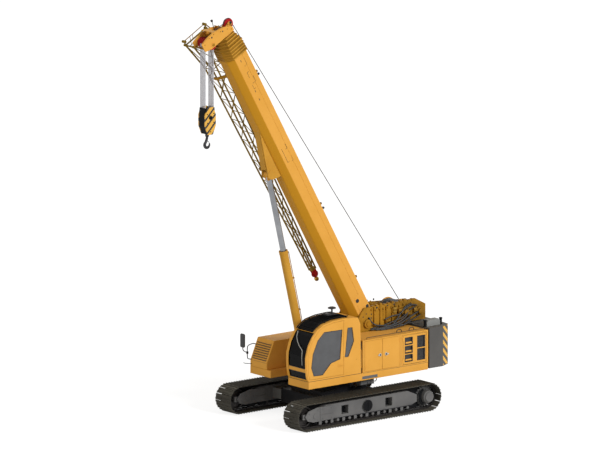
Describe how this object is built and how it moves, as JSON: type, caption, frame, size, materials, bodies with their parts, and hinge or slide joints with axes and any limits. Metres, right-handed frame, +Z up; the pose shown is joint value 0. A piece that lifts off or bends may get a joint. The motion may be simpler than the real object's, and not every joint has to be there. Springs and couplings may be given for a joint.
{
  "type": "crawler crane with telescopic boom",
  "caption": "Tracked mobile crane with a slewing deck, side cab, ballast, telescopic boom raised by a cylinder, stowed lattice jib and hook block.",
  "frame": {"origin": "on the ground under the middle of the whole machine at rest; the slewing axis is at x = -0.7014 m", "axes": "+X forwards along the tracks and the boom, +Y to the left, cab side, +Z up"},
  "size_m": [8.5628, 3.88, 12.2335],
  "materials": {
    "painted_yellow": "semi-gloss enamel",
    "painted_grey": "satin enamel",
    "painted_black": "satin enamel",
    "painted_ballast": "satin enamel",
    "painted_red": "gloss enamel",
    "track_steel": "worn dark steel",
    "dark_steel": "dark steel",
    "chrome_rod": "hard chrome",
    "tinted_glass": "tinted",
    "black_plastic": "moulded",
    "seat_cloth": "woven"
  },
  "bodies": {
    "undercarriage": {"carbody": "painted_black", "slew_ring": "dark_steel"},
    "left_track": {"left_track_loop": "track_steel", "left_side_frame": "painted_grey", "left_idler": "track_steel", "left_sprocket": "painted_grey", "left_rollers": "track_steel"},
    "right_track": {"right_track_loop": "track_steel", "right_side_frame": "painted_grey", "right_idler": "track_steel", "right_sprocket": "painted_grey", "right_rollers": "track_steel"},
    "superstructure": {"centre_frame": "painted_yellow", "left_deck": "painted_yellow", "right_deck": "painted_yellow", "boom_support_left": "painted_yellow", "boom_support_right": "painted_yellow", "winch_frame_back": "painted_yellow", "left_housing": "painted_yellow", "right_hood": "painted_yellow", "engine": "dark_steel", "counterweight": "painted_ballast", "control_box": "painted_grey", "mirror": "black_plastic", "cab_shell": "painted_yellow", "rear_side_glass": "tinted_glass", "right_side_glass": "tinted_glass", "windscreen": "tinted_glass", "lower_windscreen": "tinted_glass", "back_glass": "tinted_glass", "roof_guard": "painted_black", "horn": "black_plastic", "operator_seat": "seat_cloth", "console": "black_plastic"},
    "cab_door": {"cab_door": "painted_yellow", "door_glass": "tinted_glass"},
    "service_door_front": {"service_door_front": "painted_yellow"},
    "service_door_rear": {"service_door_rear": "painted_yellow"},
    "grille_door": {"grille_door": "painted_yellow"},
    "hood_door": {"hood_door": "painted_yellow"},
    "main_winch": {"main_winch": "painted_black"},
    "auxiliary_winch": {"auxiliary_winch": "painted_black"},
    "boom": {"boom_base": "painted_yellow", "jib_lattice": "painted_yellow", "jib_tip": "painted_red"},
    "boom_section_2": {"boom_section_2": "painted_yellow"},
    "boom_section_3": {"boom_section_3": "painted_yellow"},
    "boom_section_4": {"boom_section_4": "painted_yellow"},
    "boom_head": {"boom_head": "painted_yellow"},
    "top_sheave": {"top_sheave": "painted_red"},
    "head_sheaves": {"head_sheaves": "painted_red"},
    "cylinder_rod": {"cylinder_rod": "chrome_rod"},
    "cylinder_barrel": {"cylinder_barrel": "painted_yellow"},
    "hook_block": {"hook_block": "painted_black"},
    "hook": {"hook": "painted_black"}
  },
  "joints": [
    {"name": "left_track_slide", "type": "slide", "parent": "undercarriage", "child": "left_track", "axis": [0, -1, 0], "range_m": [0, 0.45]},
    {"name": "right_track_slide", "type": "slide", "parent": "undercarriage", "child": "right_track", "axis": [0, 1, 0], "range_m": [0, 0.45]},
    {"name": "slew", "type": "hinge", "parent": "undercarriage", "child": "superstructure", "pos_m": [-0.70135, 0, 1.15], "axis": [0, 0, 1], "continuous": true},
    {"name": "cab_door_hinge", "type": "hinge", "parent": "superstructure", "child": "cab_door", "pos_m": [-0.10135, 1.458, 2.1], "axis": [0, 0, 1], "range_deg": [0, 105]},
    {"name": "service_door_front_hinge", "type": "hinge", "parent": "superstructure", "child": "service_door_front", "pos_m": [-0.90435, 1.458, 1.85], "axis": [0, 0, -1], "range_deg": [0, 100]},
    {"name": "service_door_rear_hinge", "type": "hinge", "parent": "superstructure", "child": "service_door_rear", "pos_m": [-2.22935, 1.458, 1.85], "axis": [0, 0, 1], "range_deg": [0, 100]},
    {"name": "grille_door_hinge", "type": "hinge", "parent": "superstructure", "child": "grille_door", "pos_m": [-3.22935, 1.458, 1.85], "axis": [0, 0, 1], "range_deg": [0, 95]},
    {"name": "hood_door_hinge", "type": "hinge", "parent": "superstructure", "child": "hood_door", "pos_m": [0.20165, -1.458, 1.755], "axis": [0, 0, 1], "range_deg": [0, 100]},
    {"name": "main_winch_spin", "type": "hinge", "parent": "superstructure", "child": "main_winch", "pos_m": [-3.20135, 0, 2.74], "axis": [0, 1, 0], "continuous": true},
    {"name": "auxiliary_winch_spin", "type": "hinge", "parent": "superstructure", "child": "auxiliary_winch", "pos_m": [-3.74135, 0, 2.7], "axis": [0, 1, 0], "continuous": true},
    {"name": "luff", "type": "hinge", "parent": "superstructure", "child": "boom", "pos_m": [-1.77135, 0, 2.57], "axis": [0, -1, 0], "range_deg": [-60.5, 19.5]},
    {"name": "telescope", "type": "slide", "parent": "boom", "child": "boom_head", "axis": [0.4924, 0, 0.8704], "range_m": [0, 28]},
    {"name": "section_2_slide", "type": "slide", "parent": "boom", "child": "boom_section_2", "axis": [0.4924, 0, 0.8704], "range_m": [0, 7]},
    {"name": "section_3_slide", "type": "slide", "parent": "boom", "child": "boom_section_3", "axis": [0.4924, 0, 0.8704], "range_m": [0, 14]},
    {"name": "section_4_slide", "type": "slide", "parent": "boom", "child": "boom_section_4", "axis": [0.4924, 0, 0.8704], "range_m": [0, 21]},
    {"name": "top_sheave_spin", "type": "hinge", "parent": "boom_head", "child": "top_sheave", "pos_m": [3.07752, 0, 12.07451], "axis": [0, 1, 0], "continuous": true},
    {"name": "falls_swing", "type": "hinge", "parent": "boom_head", "child": "head_sheaves", "pos_m": [3.85855, 0, 11.58666], "axis": [0, -1, 0], "range_deg": [-19.5, 60.5]},
    {"name": "hoist", "type": "slide", "parent": "head_sheaves", "child": "hook_block", "axis": [0, 0, -1], "range_m": [-1.4, 8]},
    {"name": "hook_swivel", "type": "hinge", "parent": "hook_block", "child": "hook", "pos_m": [3.85855, 0, 8.7], "axis": [0, 0, 1], "continuous": true},
    {"name": "cylinder_rod_swing", "type": "hinge", "parent": "boom", "child": "cylinder_rod", "pos_m": [1.57061, 0, 7.4006], "axis": [0, -1, 0], "range_deg": [-8.89, 2.87]},
    {"name": "cylinder_stroke", "type": "slide", "parent": "cylinder_rod", "child": "cylinder_barrel", "axis": [-0.233, 0, -0.9725], "range_m": [-2.0766, 0.67]}
  ],
  "couplings": [
    {"joint": "section_2_slide", "follows": "telescope", "ratio": 0.25},
    {"joint": "section_3_slide", "follows": "telescope", "ratio": 0.5},
    {"joint": "section_4_slide", "follows": "telescope", "ratio": 0.75},
    {"joint": "falls_swing", "follows": "luff", "ratio": -1},
    {"joint": "cylinder_rod_swing", "follows": "luff", "ratio": 0.1468},
    {"joint": "cylinder_stroke", "follows": "luff", "m_per_rad": 1.9657}
  ]
}
